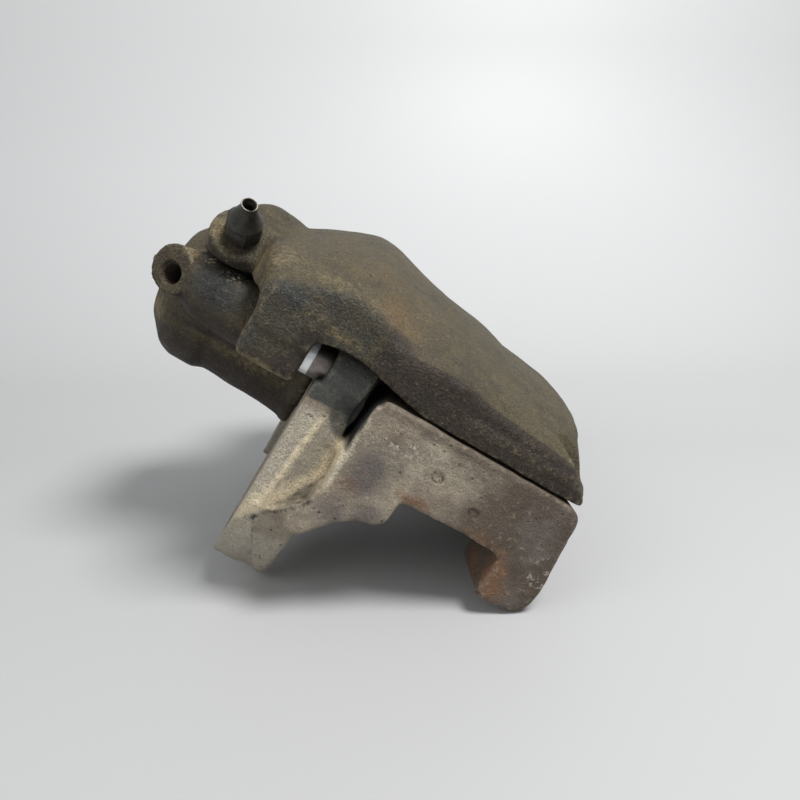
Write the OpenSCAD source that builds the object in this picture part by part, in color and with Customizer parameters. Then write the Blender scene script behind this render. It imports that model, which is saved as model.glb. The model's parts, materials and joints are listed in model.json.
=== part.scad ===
// Floating single-piston disc brake caliper with its carrier bracket, guide pins and pads.
//
// Every sub-part is drawn in the caliper's own frame and then laid in its bench pose:
//   X runs along the guide pins, outboard positive, with zero 3 mm outboard of the disc's middle
//   Y runs along the disc's rim, and the caliper is symmetric about Y = 0 but for its two ports
//   Z runs outward from the disc's axis
// The bench pose leans the whole caliper until it stands on its two lugs and its outboard feet.

/* [Disc space] */
// Height of the disc's axis in the caliper's frame
disc_axis_z = -108; // [-112:1:-104]
// Radius that the bracket leaves free for the disc
disc_clear_r = 151; // [148:1:152]
// Middle plane of the disc
disc_x = -3; // [-4:0.5:-2]
// Thickness of the disc space between new linings
disc_gap = 29; // [26:0.5:30]

/* [Bracket] */
// Half width over the two arms
arm_y = 98; // [96:1:100]
// Inner face of each arm, where the pads slide
arm_inner_y = 66; // [65:1:67]
// Top face of the arms
arm_top_z = 38.2; // [37.6:0.1:39]
// Machined face that bolts to the hub carrier
machined_x = -72; // [-73:0.5:-71]
// Distance of each mounting hole from the middle
mount_hole_y = 63; // [62:1:64]
// Height of the mounting holes
mount_hole_z = -44; // [-46:1:-43]
// Drilled diameter of the mounting holes
mount_hole_d = 12.4; // [10.4:0.1:12.4]
// Outer radius of each mounting lug
mount_lug_r = 17.8; // [16:0.1:18]
// Outboard face of each mounting lug
mount_lug_x = -49; // [-52:1:-48]

/* [Guide pins] */
// Distance of each pin from the middle
pin_y = 82; // [81:1:83]
// Height of the pins
pin_z = 35; // [34:0.5:36]
// Diameter of the sliding shank
pin_d = 13; // [12:0.5:13]
// Diameter of the end that sits in the bracket
pin_root_d = 10; // [9:0.5:10]

/* [Housing] */
// Half width of the bridge
bridge_y = 96; // [94:1:96]
// Underside of the bridge where it passes over the arms
bridge_under_z = 39.4; // [39.2:0.1:41]
// Radius of the tunnel that the disc's rim runs in
tunnel_r = 160; // [158:1:162]
// Outboard face of the fist
fist_outer_x = 48; // [47:1:50]
// Inner face of the fist, behind the outer pad
fist_inner_x = 31.5; // [31:0.5:32]
// Lowest point of the fist's two fingers
fist_low_z = 4.5; // [4:0.5:6]
// Inboard face of each guide lug
lug_in_x = -101; // [-102:1:-100]
// Outboard face of each guide lug
lug_out_x = -78.5; // [-79:0.5:-77.5]

/* [Cylinder] */
// Height of the piston's axis
bore_z = 21.5; // [21:0.5:22]
// Piston diameter
piston_d = 54; // [52:0.5:54]
// Length of the piston
piston_len = 58; // [54:1:60]
// Front edge of the piston at rest
piston_front_x = -38; // [-39:0.5:-38]
// Back wall of the cylinder
barrel_back_x = -149; // [-150:1:-148]
// Open end of the cylinder
barrel_lip_x = -71; // [-73:0.5:-71]

/* [Ports] */
// Diameter of the brake hose's threaded port
port_d = 9.2; // [8.4:0.1:9.2]
// Angle that the port leans inboard
port_lean = 24; // [20:1:28]
// Elevation of the bleed screw above the rim direction
bleed_rise = 40; // [36:1:44]

/* [Bench pose] */
// Lean of the caliper about the rim direction
bench_tilt = 31.5; // [30:0.5:33]

/* [Hidden] */
$fn = 64;

fit = 0.04;                 // radial running clearance of a pin or the piston
loose = 0.3;                // clearance between parts that only pass each other
tiny = 0.01;

// Stack of pads, from the disc outwards
lining_t = 12.5;
plate_t = 6;
shim_t = 0.8;
outer_lining_x = disc_x + disc_gap / 2;
outer_plate_x = outer_lining_x + lining_t;
outer_shim_x = outer_plate_x + plate_t;
inner_lining_x = disc_x - disc_gap / 2 - lining_t;
inner_plate_x = inner_lining_x - plate_t;
inner_shim_x = inner_plate_x - shim_t;

// Pad outline
pad_top_r = disc_clear_r + 2;
pad_low_z = 5;
pad_y = 58;
pad_ear_y = 71;
pad_ear_low_z = 14;
pad_ear_high_z = 25;
groove_y = 73;
groove_low_z = pad_ear_low_z - 1.5;
groove_high_z = pad_ear_high_z + 1.5;
clip_t = 0.6;

// Guide pin lengths
tower_in_x = -69.5;
tower_out_x = -53;
pin_head_x = lug_in_x + 10;
bush_r = 8.6;

// Cylinder and piston
bore_r = piston_d / 2 + fit;
bore_end_x = -134;
seal_x = -84;
seal_w = 3.2;
boot_ring_x = barrel_lip_x - 3.2;
piston_wall = 5;
boot_groove_w = 3;
boot_groove_x = piston_front_x - 2.5 - boot_groove_w;

// Planes that part the casting's three nodes
cylinder_end_x = -60;
fist_start_x = 30;

// Bleed screw: axis through this point, rising towards the near side
bleed_tip = [-124, -62, 69];
bleed_len = 44;
port_face = [-141.3, -47, 28.6];

// The mounting lugs' lowest edges come down to Z = 0, and the overall box is centred in X
rest_x = 29.95;
rest_z = mount_lug_x * sin(bench_tilt) - (mount_hole_z - mount_lug_r) * cos(bench_tilt);

// ---------------------------------------------------------------- helpers

// Lays a sub-part in the bench pose
module bench_pose() {
    translate([rest_x, 0, rest_z]) rotate([0, bench_tilt, 0]) children();
}

module both_sides() {
    children();
    mirror([0, 1, 0]) children();
}

// Near side (upper when fitted) or far side (lower when fitted)
module side(far) {
    if (far) mirror([0, 1, 0]) children();
    else children();
}

module block(low, high) {
    translate(low) cube(high - low);
}

module rod_x(x0, x1, r, y = 0, z = 0) {
    translate([x0, y, z]) rotate([0, 90, 0]) cylinder(h = x1 - x0, r = r);
}

// Outline of [x, z] points, extruded from y0 to y1
module slab_xz(points, y0, y1) {
    translate([0, y1, 0]) rotate([90, 0, 0]) linear_extrude(y1 - y0) polygon(points);
}

// Outline of [y, z] points, extruded from x0 to x1
module slab_yz(points, x0, x1) {
    translate([x0, 0, 0]) rotate([90, 0, 90]) linear_extrude(x1 - x0) polygon(points);
}

// Profile of [radius, x] points, turned about a line along X
module turned_x(points, z) {
    translate([0, 0, z]) rotate([0, 90, 0]) rotate_extrude() polygon(points);
}

function mirrored(points) = concat(points, [for (i = [len(points) - 1:-1:0]) [-points[i][0], points[i][1]]]);

// ---------------------------------------------------------------- carrier bracket

// Arm that reaches over the rim, with its outboard leg
arm_outline = [
    [-46.5, arm_top_z], [33, arm_top_z], [37, 36.5], [41, 5], [40.8, -3], [38.6, -8.1], [31, -9.5],
    [21.5, -10], [18, -7.5], [18, 9], [-23.5, 9], [-24, -1], [-28, -4.5], [-34, -5], [-43, -13],
    [-46.5, -18], [-50, -21.5], [-57, -23], [-51.5, 12], [-50.3, 35]
];
// Mounting plate and lug as seen along the pins
plate_outline = [
    [-92, 25], [-67, 25], [-58, 12], [-52, -16], [-46, -36], [-46, -46], [-52, -56],
    [-mount_hole_y, mount_hole_z - mount_lug_r + 2], [-73, -52], [-80, -42], [-88, -18], [-92, 0]
];
lug_outline = [
    [-97, -2], [-60, -2], [-50, -30], [-46, -46], [-51, -56], [-57, -60.5],
    [-mount_hole_y, mount_hole_z - mount_lug_r], [-69, -58.5], [-75, -53], [-82, -42], [-90, -20], [-97, -12]
];
// Reinforcing rib that closes the pocket between plate and arm from below
pocket_outline = [[-63, 26], [-51.2, 26], [-51.8, 12], [-52.5, 0], [-66, -20]];

module bracket_side() {
    slab_xz(arm_outline, -arm_y, -arm_inner_y);
    slab_yz(plate_outline, machined_x, -62);
    slab_yz(lug_outline, machined_x, mount_lug_x);
    rod_x(tower_in_x, tower_out_x, 10.3, -pin_y, pin_z);
    block([tower_in_x, -88, 15], [-54.5, -72, pin_z]);
    slab_xz([[-70, 20], [-69, 30], [-54.5, 30], [-54.5, 22], [-52, 15], [-45, 10], [-45, -14], [-66, -22], [-70, -22]],
        -86, -arm_inner_y);
}

module carrier_bracket() color("dimgray") difference() {
    union() {
        both_sides() bracket_side();
        block([machined_x + 5, -58, -34], [-56, 58, -18]);
        block([24, -arm_inner_y - 1, -8], [38, arm_inner_y + 1, 1.8]);
    }
    // Disc space through both arms
    translate([0, 0, disc_axis_z]) rod_x(-24, 19, disc_clear_r);
    both_sides() {
        // Pocket between the plate and the arm
        slab_xz(pocket_outline, -arm_y - 1, -83);
        // Grooves that the pad ears slide in
        block([-54, -groove_y, groove_low_z], [42, -arm_inner_y + 1, groove_high_z]);
        // Room for the cylinder's lip beside the plate
        block([-75, -arm_inner_y, -15], [-24, -30, arm_top_z + 1]);
        rod_x(tower_in_x - 1, tower_out_x + 1, pin_root_d / 2, -pin_y, pin_z);
        rod_x(machined_x - 1, mount_lug_x + 1, mount_hole_d / 2, -mount_hole_y, mount_hole_z);
    }
}

// Chromed guide pin: the head and shank slide in the housing, the root is held in the bracket
module guide_pin(far) color("silver") side(far) translate([0, -pin_y, pin_z]) {
    rod_x(pin_head_x, tower_in_x, pin_d / 2);
    rod_x(tower_in_x - tiny, tower_out_x - 1, pin_root_d / 2 - tiny);
}
module guide_pin_upper() guide_pin(false);
module guide_pin_lower() guide_pin(true);

// Stainless sheet that lines one pad groove
module pad_clip(x0, x1, far) color("lightsteelblue") side(far)
    slab_yz([
        [-arm_inner_y, groove_low_z + 0.1], [-groove_y + 0.1, groove_low_z + 0.1],
        [-groove_y + 0.1, groove_high_z - 0.1], [-arm_inner_y, groove_high_z - 0.1],
        [-arm_inner_y, groove_high_z - 0.1 - clip_t], [-groove_y + 0.1 + clip_t, groove_high_z - 0.1 - clip_t],
        [-groove_y + 0.1 + clip_t, groove_low_z + 0.1 + clip_t], [-arm_inner_y, groove_low_z + 0.1 + clip_t]
    ], x0, x1);
module pad_clip_inner_upper() pad_clip(-46, -24.5, false);
module pad_clip_inner_lower() pad_clip(-46, -24.5, true);
module pad_clip_outer_upper() pad_clip(19.5, 40, false);
module pad_clip_outer_lower() pad_clip(19.5, 40, true);

// ---------------------------------------------------------------- caliper housing

// Top line of the bridge along its middle, as [x, z]
bridge_line = [
    [-113, 67], [-108, 70.5], [-98.5, 76], [-86, 82], [-76, 86], [-66, 85.5], [-52, 82], [-42, 79.8],
    [-33, 78.2], [-15, 76.4], [-6, 74.5], [2, 72.2], [15, 71.6], [27, 70.2], [36, 67.5], [42, 61.5],
    [46, 53.5], [fist_outer_x, 42]
];
bridge_profile = concat(
    [[0, -113]],
    [for (p = bridge_line) [p[1] - disc_axis_z, p[0]]],
    [[0, fist_outer_x]]
);
// Plan of the bridge, as [x, y]
bridge_plan = [
    [-113, -58], [lug_in_x, -bridge_y], [33, -bridge_y], [37, -85], [43, -60], [fist_outer_x, -34],
    [fist_outer_x, 34], [43, 60], [37, 85], [33, bridge_y], [lug_in_x, bridge_y], [-113, 58]
];
// Side face of the bridge, as [x, z]
bridge_side = [
    [-100, 43], [-100, 53], [-83, 60.5], [-71, 62.5], [-60, 58.5], [-49, 55], [-21, 54], [0, 51],
    [17, 49.5], [31, 46], [33, 43], [33, bridge_under_z]
];
// Fist as seen along the pins
fist_outline = mirrored([
    [-86, 43], [-60, 39], [-52, 32], [-49, 12], [-44, fist_low_z], [-20, fist_low_z], [-15, 14], [-8, 21]
]);
// Outside of the cylinder, as [radius, x]
barrel_profile = [
    [0, barrel_back_x], [23, barrel_back_x], [33.5, -140], [36, -134], [36, -123], [33.8, -118], [35, -88],
    [36.4, -76.5], [37.8, -75.5], [37.8, barrel_lip_x], [0, barrel_lip_x]
];

module bridge() intersection() {
    turned_x(bridge_profile, disc_axis_z);
    union() {
        translate([0, 0, bridge_under_z]) linear_extrude(60) polygon(bridge_plan);
        slab_yz(fist_outline, fist_inner_x, fist_outer_x);
    }
}

module guide_lug() {
    slab_yz([[-96, 28], [-93.5, 25.5], [-72, 25.5], [-66, 33], [-34, 33], [-34, 50], [-96, 50]], lug_in_x, lug_out_x);
}

// Boss whose face is square to the bleed screw
module bleed_axis() translate(bleed_tip) rotate([90 - bleed_rise, 0, 0]) children();
module port_axis() translate(port_face) rotate([0, 0, -port_lean]) rotate([90, 0, 0]) children();

module bosses() {
    bleed_axis() {
        translate([0, 0, -50]) cylinder(h = 19, r = 14);
        translate([0, 0, -31]) cylinder(h = 11, r1 = 14, r2 = 8);
    }
    // Swelling on the cylinder's near side, below the bleed boss
    rod_x(-124, -98, 15, -38, 30);
    translate([-124, -38, 30]) sphere(r = 15);
    translate([-121, -30, 52]) sphere(r = 15);
    translate([-118, -22, 61]) sphere(r = 12.5);
    port_axis() translate([0, 1.6, -26]) cylinder(h = 26, r = 10.4);
}

// The whole casting; its cylinder, bridge and fist are split from it where the disc space begins
module casting() difference() {
    union() {
        turned_x(barrel_profile, bore_z);
        bridge();
        both_sides() {
            guide_lug();
            slab_xz(concat([[-100, bridge_under_z]], bridge_side), -bridge_y, -84);
        }
        slab_yz(mirrored([[-34, 34], [-34, 62], [-20, 70]]), -113, -64);
        bosses();
    }
    // Tunnel over the disc, pads and bracket
    translate([0, 0, disc_axis_z]) rod_x(-64, fist_inner_x, tunnel_r);
    block([-64, -40, bridge_under_z - 60], [fist_inner_x, 40, bridge_under_z + 1]);
    // Relief over the bracket's towers, with room to slide
    both_sides() {
        rod_x(lug_out_x, -38, 11.6, -pin_y, pin_z);
        slab_xz([[lug_out_x, 20], [lug_out_x, 44.2], [-74, 45.6], [-67, 46.2], [-58, 45], [-43, 41.2],
            [-33, bridge_under_z - 0.2], [-33, 20]], -97, -40);
    }
    // Cylinder bore with its seal groove and boot counterbore
    rod_x(bore_end_x, barrel_lip_x + 8, bore_r, 0, bore_z);
    rod_x(seal_x, seal_x + seal_w, bore_r + 2.6, 0, bore_z);
    rod_x(boot_ring_x, barrel_lip_x + tiny, bore_r + 4.4, 0, bore_z);
    rod_x(barrel_lip_x, piston_front_x, bore_r + 6.5, 0, bore_z);
    // Guide bores, with a shoulder for the cap
    both_sides() {
        rod_x(lug_in_x + 3, lug_out_x + 1, bush_r, -pin_y, pin_z);
        rod_x(lug_in_x - 1, lug_in_x + 3, bush_r + 1.6, -pin_y, pin_z);
    }
    // Hose port and bleed passage
    port_axis() {
        translate([0, 0, -14]) cylinder(h = 15, r = port_d / 2);
        translate([0, 0, -1.4]) cylinder(h = 1.5, r1 = port_d / 2, r2 = port_d / 2 + 1.5);
        translate([0, 0, -34]) cylinder(h = 22, r = 1.8);
    }
    bleed_axis() translate([0, 0, -bleed_len]) cylinder(h = bleed_len, r = 5 + fit);
    // Shallow scoop in the fist's outer face
    translate([fist_outer_x + 12, -48, 47]) rotate([-90, 0, 0]) cylinder(h = 96, r = 16);
}

module casting_between(x0, x1) color("darkolivegreen") intersection() {
    casting();
    block([x0, -bridge_y - 4, -40], [x1, bridge_y + 4, 100]);
}
module caliper_cylinder() casting_between(barrel_back_x - 9, cylinder_end_x);
module caliper_bridge() casting_between(cylinder_end_x, fist_start_x);
module caliper_fist() casting_between(fist_start_x, fist_outer_x + 2);

// Sleeve that the pin slides in
module guide_bush(far) color("black") side(far) difference() {
    rod_x(lug_in_x + 3, lug_out_x - 0.2, bush_r, -pin_y, pin_z);
    rod_x(lug_in_x, lug_out_x + 1, pin_d / 2 + fit, -pin_y, pin_z);
}
module guide_bush_upper() guide_bush(false);
module guide_bush_lower() guide_bush(true);

// Cap that closes the guide bore from inboard
module guide_cap(far) color("black") side(far) {
    rod_x(lug_in_x + 0.4, lug_in_x + 3, bush_r + 1.6, -pin_y, pin_z);
}
module guide_cap_upper() guide_cap(false);
module guide_cap_lower() guide_cap(true);

// Square-section seal, a light press in its groove
module piston_seal() color("black")
    turned_x([
        [piston_d / 2 + 0.02, seal_x + 0.1], [bore_r + 2.5, seal_x + 0.1],
        [bore_r + 2.5, seal_x + seal_w - 0.1], [piston_d / 2 + 0.02, seal_x + seal_w - 0.1]
    ], bore_z);

// Steel ring that holds the dust boot in the cylinder's mouth
module boot_ring() color("darkgray")
    turned_x([
        [bore_r + 3.2, boot_ring_x + 0.1], [bore_r + 4.3, boot_ring_x + 0.1],
        [bore_r + 4.3, barrel_lip_x - 0.3], [bore_r + 3.2, barrel_lip_x - 0.3]
    ], bore_z);

// Rubber bellows from the cylinder's mouth to the groove near the piston's front
boot_wall = 1;
boot_start_x = boot_ring_x + 0.2;
boot_folds = 4;
boot_pitch = (boot_groove_x - 0.4 - barrel_lip_x) / boot_folds;
boot_zigzag = [for (i = [0:2 * boot_folds]) [
    i % 2 == 0 ? piston_d / 2 + 0.8 : bore_r + 3.6,
    barrel_lip_x + i * boot_pitch / 2
]];
module dust_boot() color("black")
    turned_x(concat(
        [[piston_d / 2 + 0.5, boot_start_x], [bore_r + 3.1, boot_start_x], [bore_r + 3.1, barrel_lip_x - 0.6]],
        [for (p = boot_zigzag) [p[0] + boot_wall, p[1]]],
        [[piston_d / 2 + boot_wall, boot_groove_x + boot_groove_w - 0.1],
         [piston_d / 2 - 1.2, boot_groove_x + boot_groove_w - 0.1], [piston_d / 2 - 1.2, boot_groove_x + 0.1],
         [piston_d / 2 + 0.3, boot_groove_x + 0.1]],
        [for (i = [len(boot_zigzag) - 1:-1:0]) [boot_zigzag[i][0] - 0.3, boot_zigzag[i][1] - 0.4]]
    ), bore_z);

// ---------------------------------------------------------------- piston

module piston() color("lightgray") difference() {
    rod_x(piston_front_x - piston_len, piston_front_x, piston_d / 2, 0, bore_z);
    rod_x(piston_front_x - piston_len + 8, piston_front_x + 1, piston_d / 2 - piston_wall, 0, bore_z);
    difference() {
        rod_x(boot_groove_x, boot_groove_x + boot_groove_w, piston_d / 2 + 1, 0, bore_z);
        rod_x(boot_groove_x - 1, boot_groove_x + boot_groove_w + 1, piston_d / 2 - 1.4, 0, bore_z);
    }
}

// Three-leaf clip that holds the inner pad to the piston
module piston_clip() color("slategray") {
    hub_r = 7;
    leaf_w = 9;
    leaf_r = piston_d / 2 - piston_wall - 0.3;
    rod_x(inner_shim_x - 1.3, inner_shim_x, hub_r, 0, bore_z);
    for (turn = [90, 210, 330]) translate([0, 0, bore_z]) rotate([turn, 0, 0]) {
        block([inner_shim_x - 1.3, 0, -leaf_w / 2], [inner_shim_x, leaf_r - 0.4, leaf_w / 2]);
        block([inner_shim_x - 13, leaf_r - 2, -leaf_w / 2], [inner_shim_x, leaf_r - 0.8, leaf_w / 2]);
    }
}

// ---------------------------------------------------------------- brake pads

// Ring sector between the pad's foot and the disc's rim, as wide as half_y each way
module pad_body(x0, x1, half_y, low_z, top_r) intersection() {
    translate([0, 0, disc_axis_z]) rod_x(x0, x1, top_r);
    slab_yz([
        [-half_y, low_z + 7], [-half_y + 9, low_z], [half_y - 9, low_z], [half_y, low_z + 7],
        [half_y, 60], [-half_y, 60]
    ], x0, x1);
}

module pad_plate(x0) {
    pad_body(x0, x0 + plate_t, pad_y + 5, pad_low_z, pad_top_r);
    both_sides() block([x0, -pad_ear_y, pad_ear_low_z], [x0 + plate_t, -pad_y, pad_ear_high_z]);
}

// Friction lining with a wear groove down its middle
module pad_lining(x0, groove_x) difference() {
    pad_body(x0, x0 + lining_t, pad_y - 2, pad_low_z + 1.5, pad_top_r - 3);
    block([groove_x, -1.5, 0], [groove_x + 6, 1.5, 60]);
}

module pad_shim(x0) pad_body(x0, x0 + shim_t, pad_y - 4, pad_low_z + 4, pad_top_r - 4);

module outer_pad_plate() color("dimgray") pad_plate(outer_plate_x);
module outer_pad_lining() color("saddlebrown") pad_lining(outer_lining_x, outer_lining_x - 1);
module outer_pad_shim() color("darkgray") pad_shim(outer_shim_x);
module inner_pad_plate() color("dimgray") pad_plate(inner_plate_x);
module inner_pad_lining() color("saddlebrown") pad_lining(inner_lining_x, inner_lining_x + lining_t - 5);
module inner_pad_shim() color("darkgray") pad_shim(inner_shim_x);

// ---------------------------------------------------------------- bleed screw

module bleed_screw() color("darkslategray") bleed_axis() difference() {
    union() {
        translate([0, 0, -2.5]) cylinder(h = 2.5, r = 3.4);
        translate([0, 0, -9.5]) cylinder(h = 7.2, r1 = 6, r2 = 3.1);
        translate([0, 0, -19.5]) cylinder(h = 10, r = 7.4, $fn = 6);
        translate([0, 0, -36]) cylinder(h = 17, r = 5);
        translate([0, 0, -39]) cylinder(h = 3, r1 = 1.5, r2 = 5);
    }
    translate([0, 0, -34]) cylinder(h = 35, r = 1.9);
}

bench_pose() carrier_bracket();
bench_pose() guide_pin_upper();
bench_pose() guide_pin_lower();
bench_pose() pad_clip_inner_upper();
bench_pose() pad_clip_inner_lower();
bench_pose() pad_clip_outer_upper();
bench_pose() pad_clip_outer_lower();
bench_pose() caliper_cylinder();
bench_pose() caliper_bridge();
bench_pose() caliper_fist();
bench_pose() guide_bush_upper();
bench_pose() guide_bush_lower();
bench_pose() guide_cap_upper();
bench_pose() guide_cap_lower();
bench_pose() piston_seal();
bench_pose() boot_ring();
bench_pose() dust_boot();
bench_pose() outer_pad_plate();
bench_pose() outer_pad_lining();
bench_pose() outer_pad_shim();
bench_pose() piston();
bench_pose() piston_clip();
bench_pose() inner_pad_shim();
bench_pose() inner_pad_plate();
bench_pose() inner_pad_lining();
bench_pose() bleed_screw();
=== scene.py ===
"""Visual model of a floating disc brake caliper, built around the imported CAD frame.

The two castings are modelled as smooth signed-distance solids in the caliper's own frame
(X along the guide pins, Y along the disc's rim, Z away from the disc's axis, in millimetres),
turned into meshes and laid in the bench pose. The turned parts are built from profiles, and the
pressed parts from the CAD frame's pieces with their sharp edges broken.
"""

import json
import math

import bmesh
import bpy
import numpy as np
from mathutils import Matrix, Vector


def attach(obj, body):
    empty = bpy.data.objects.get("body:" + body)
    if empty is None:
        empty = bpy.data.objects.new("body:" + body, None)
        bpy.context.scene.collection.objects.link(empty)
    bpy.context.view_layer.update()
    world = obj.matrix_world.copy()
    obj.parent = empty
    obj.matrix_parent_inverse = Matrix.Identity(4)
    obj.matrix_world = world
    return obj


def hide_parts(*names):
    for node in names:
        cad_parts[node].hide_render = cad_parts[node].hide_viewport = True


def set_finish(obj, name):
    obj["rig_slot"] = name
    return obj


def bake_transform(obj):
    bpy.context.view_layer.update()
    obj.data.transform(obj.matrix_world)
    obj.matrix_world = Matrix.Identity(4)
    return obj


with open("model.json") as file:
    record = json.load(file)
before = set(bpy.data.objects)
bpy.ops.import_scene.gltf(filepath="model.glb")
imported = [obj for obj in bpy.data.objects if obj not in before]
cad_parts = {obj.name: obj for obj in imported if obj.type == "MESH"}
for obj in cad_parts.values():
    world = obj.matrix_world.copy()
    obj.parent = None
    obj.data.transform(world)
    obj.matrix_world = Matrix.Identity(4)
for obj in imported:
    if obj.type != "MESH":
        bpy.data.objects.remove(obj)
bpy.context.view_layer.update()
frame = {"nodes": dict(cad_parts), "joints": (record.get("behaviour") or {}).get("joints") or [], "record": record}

# ---- frames

# The caliper's own frame in millimetres, and how far it leans on the bench
TILT = math.radians(31.5)
BLEED_TIP = (-124.0, -62.0, 69.0)
BLEED_RISE = math.radians(40)
BLEED_AXIS = (0.0, -math.cos(BLEED_RISE), math.sin(BLEED_RISE))
PORT_FACE = (-141.3, -47.0, 28.6)
PORT_LEAN = math.radians(24)
PORT_AXIS = (-math.sin(PORT_LEAN), -math.cos(PORT_LEAN), 0.0)
DISC_Z = -108.0
BORE_Z = 21.5
PIN_Y = 82.0
PIN_Z = 35.0
ALONG = (1, 0, 0)
BORE = (0, 0, BORE_Z)
LUG_IN = -101
LUG_OUT = -78.5
PISTON_R = 27
# Radii of the hollows that the disc runs through, in the housing and in the bracket
ARCH_R = 160
RIM_R = 151
# Mounting holes
HOLE_Y = 63
HOLE_Z = -44
HOLE_R = 6.2
MM = 0.001


def lean(x, z):
    return x * math.cos(TILT) + z * math.sin(TILT), z * math.cos(TILT) - x * math.sin(TILT)


# The bleed screw's hinge passes through its tip, which fixes where the leaning caliper stands
HINGE = next(j for j in frame["joints"] if j["name"] == "bleed_screw_turn")["pos_m"]
_tip = lean(BLEED_TIP[0], BLEED_TIP[2])
REST_X = HINGE[0] / MM - _tip[0]
REST_Z = HINGE[2] / MM - _tip[1]
TO_ROW = Matrix.Scale(MM, 4) @ Matrix.Translation((REST_X, 0, REST_Z)) @ Matrix.Rotation(TILT, 4, "Y")
ROW_NP = np.array(TO_ROW)


def to_row(points):
    return points @ ROW_NP[:3, :3].T + ROW_NP[:3, 3]


# ---- signed distances

CORNERS = [(a, b, c) for a in (0, 1) for b in (0, 1) for c in (0, 1)]
OUTLINE_STEP = 0.5
OUTLINE_PAD = 16.0


def blurred(values, sigma, axis):
    """Gaussian blur along one axis, with the edge values repeated."""
    reach = max(1, int(round(3 * sigma)))
    taps = np.exp(-0.5 * (np.arange(-reach, reach + 1) / sigma) ** 2)
    taps /= taps.sum()
    n = values.shape[axis]
    out = np.zeros_like(values)
    for k, tap in zip(range(-reach, reach + 1), taps):
        out += np.float32(tap) * np.take(values, np.clip(np.arange(n) + k, 0, n - 1), axis)
    return out


class Outline:
    """Signed distance to a closed outline in a plane. blur rounds its corners."""

    def __init__(self, points, blur=0.0):
        p = np.array(points, float)
        self.low = p.min(0) - OUTLINE_PAD
        size = np.ceil((p.max(0) + OUTLINE_PAD - self.low) / OUTLINE_STEP).astype(int) + 1
        u = (self.low[0] + OUTLINE_STEP * np.arange(size[0]))[:, None]
        v = (self.low[1] + OUTLINE_STEP * np.arange(size[1]))[None, :]
        best = np.full(size, 1e12)
        sign = np.ones(size)
        for a, b in zip(p, np.roll(p, 1, 0)):
            e = b - a
            wu, wv = u - a[0], v - a[1]
            t = np.clip((wu * e[0] + wv * e[1]) / (e @ e), 0, 1)
            best = np.minimum(best, (wu - e[0] * t) ** 2 + (wv - e[1] * t) ** 2)
            c = (v >= a[1]) * 1 + (v < b[1]) * 1 + (e[0] * wv > e[1] * wu) * 1
            sign = np.where((c == 3) | (c == 0), -sign, sign)
        self.values = (sign * np.sqrt(best)).astype(np.float32)
        if blur:
            for axis in (0, 1):
                self.values = blurred(self.values, blur / OUTLINE_STEP, axis)

    def at(self, u, v):
        u, v = np.broadcast_arrays(u, v)
        fu = np.clip((u - self.low[0]) / OUTLINE_STEP, 0, self.values.shape[0] - 1.001)
        fv = np.clip((v - self.low[1]) / OUTLINE_STEP, 0, self.values.shape[1] - 1.001)
        iu, iv = fu.astype(np.int32), fv.astype(np.int32)
        tu, tv = (fu - iu).astype(np.float32), (fv - iv).astype(np.float32)
        g = self.values
        near = g[iu, iv] * (1 - tv) + g[iu, iv + 1] * tv
        far = g[iu + 1, iv] * (1 - tv) + g[iu + 1, iv + 1] * tv
        return near * (1 - tu) + far * tu


class Grid:
    """Regular grid of points in the caliper's frame, for volumes of distances."""

    def __init__(self, low, high, step):
        self.low, self.step = np.array(low, float), step
        n = np.ceil((np.array(high) - self.low) / step).astype(int) + 1
        self.shape = tuple(n)
        self.axes = [(self.low[i] + step * np.arange(n[i])).astype(np.float32) for i in range(3)]
        self.x = self.axes[0][:, None, None]
        self.y = self.axes[1][None, :, None]
        self.z = self.axes[2][None, None, :]

    def sample(self, volume, points):
        f = np.clip((points - self.low) / self.step, 0, np.array(self.shape) - 1.001)
        i = f.astype(np.int32)
        t = f - i
        out = np.zeros(len(points))
        for corner in CORNERS:
            u, v, w = [t[:, k] if far else 1 - t[:, k] for k, far in enumerate(corner)]
            out += u * v * w * volume[tuple((i + corner).T)]
        return out

    def lumps(self, size, seed):
        """Smooth noise with features of about the given size, between about -1 and 1."""
        rng = np.random.default_rng(seed)
        counts = [int((a[-1] - a[0]) / size) + 3 for a in self.axes]
        field = rng.uniform(-1, 1, counts).astype(np.float32)
        for axis in range(3):
            f = (self.axes[axis] - self.axes[axis][0]) / size
            i = f.astype(int)
            t = f - i
            t = (t * t * (3 - 2 * t)).astype(np.float32)
            t = t.reshape([-1 if k == axis else 1 for k in range(3)])
            field = np.take(field, i, axis) * (1 - t) + np.take(field, i + 1, axis) * t
        return field


def smin(a, b, k):
    h = np.maximum(k - np.abs(a - b), 0) / k
    return np.minimum(a, b) - h * h * k * 0.25


def smax(a, b, k):
    h = np.maximum(k - np.abs(a - b), 0) / k
    return np.maximum(a, b) + h * h * k * 0.25


def rounded(a, b, r):
    """The part inside both a and b, with the edge between them rounded to radius r."""
    a, b = a + r, b + r
    inner = np.minimum(np.maximum(a, b), 0)
    return inner + np.sqrt(np.maximum(a, 0) ** 2 + np.maximum(b, 0) ** 2) - r


def span(v, low, high):
    """Signed distance to the slab between low and high."""
    return np.abs(v - (low + high) / 2) - (high - low) / 2


def rise(v, start, width):
    """0 up to start, then straight up to 1 over width."""
    return np.clip((v - start) / width, 0, 1)


def peak(v, at, width):
    """1 at a value, falling off to 0 on both sides."""
    return np.exp(-(((v - at) / width) ** 2))


def block(g, low, high, r):
    d = [span(v, low[i], high[i]) + r for i, v in enumerate((g.x, g.y, g.z))]
    outside = np.sqrt(sum(np.maximum(v, 0) ** 2 for v in d))
    return outside + np.minimum(np.maximum(np.maximum(d[0], d[1]), d[2]), 0) - r


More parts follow.
